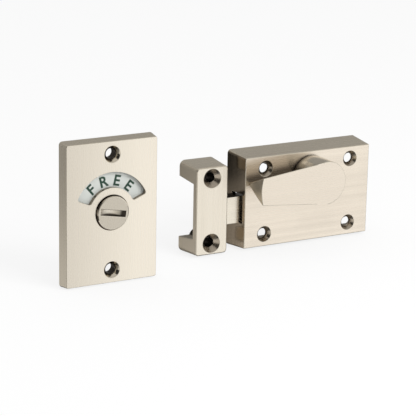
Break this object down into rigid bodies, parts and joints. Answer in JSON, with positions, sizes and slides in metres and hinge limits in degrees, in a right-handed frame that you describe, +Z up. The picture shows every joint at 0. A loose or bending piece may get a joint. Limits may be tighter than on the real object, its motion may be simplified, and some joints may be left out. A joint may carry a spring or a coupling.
{
  "type": "toilet indicator bolt",
  "caption": "Surface-fixed toilet indicator bolt in satin nickel: a lever turns a pinion that throws the bolt into a keep; a plate shows the state and takes a coin.",
  "frame": {"origin": "where the spindle axis crosses the door face that the bolt case is screwed to", "axes": "+X to the right as seen from the front, +Y back into the door along the spindle, +Z up"},
  "size_m": [0.1882, 0.076, 0.0722],
  "materials": {
    "satin_nickel": "brushed satin nickel plate on cast brass",
    "steel": "bright plated steel",
    "brass": "as cut",
    "nylon": "as moulded",
    "enamel": "stoved enamel"
  },
  "bodies": {
    "fixtures": {"bolt_case": "satin_nickel", "knob_bush": "nylon", "bow_spring": "steel", "stop_pin": "steel", "retaining_plate": "steel", "retainer_screws": "steel", "keep": "satin_nickel", "indicator_plate": "satin_nickel", "back_cover": "steel", "cover_screws": "steel"},
    "turn": {"turn_knob": "satin_nickel", "knob_grub_screw": "steel", "knob_washer": "steel", "knob_circlip": "steel", "spindle": "steel", "drive_pinion": "brass"},
    "bolt": {"bolt": "satin_nickel"},
    "release": {"release_turn": "satin_nickel", "indicator_disc": "enamel", "disc_stop_pin": "steel", "release_circlip": "steel", "dished_washer": "steel"}
  },
  "joints": [
    {"name": "knob_turn", "type": "hinge", "parent": "fixtures", "child": "turn", "pos_m": [0, 0, 0], "axis": [0, -1, 0], "range_deg": [0, 180]},
    {"name": "bolt_slide", "type": "slide", "parent": "fixtures", "child": "bolt", "axis": [1, 0, 0], "range_m": [0, 0.01728]},
    {"name": "release_turn", "type": "hinge", "parent": "fixtures", "child": "release", "pos_m": [-0.125, -0.034, 0], "axis": [0, -1, 0], "range_deg": [0, 180]}
  ],
  "couplings": [
    {"joint": "bolt_slide", "follows": "knob_turn", "m_per_rad": 0.0055}
  ]
}
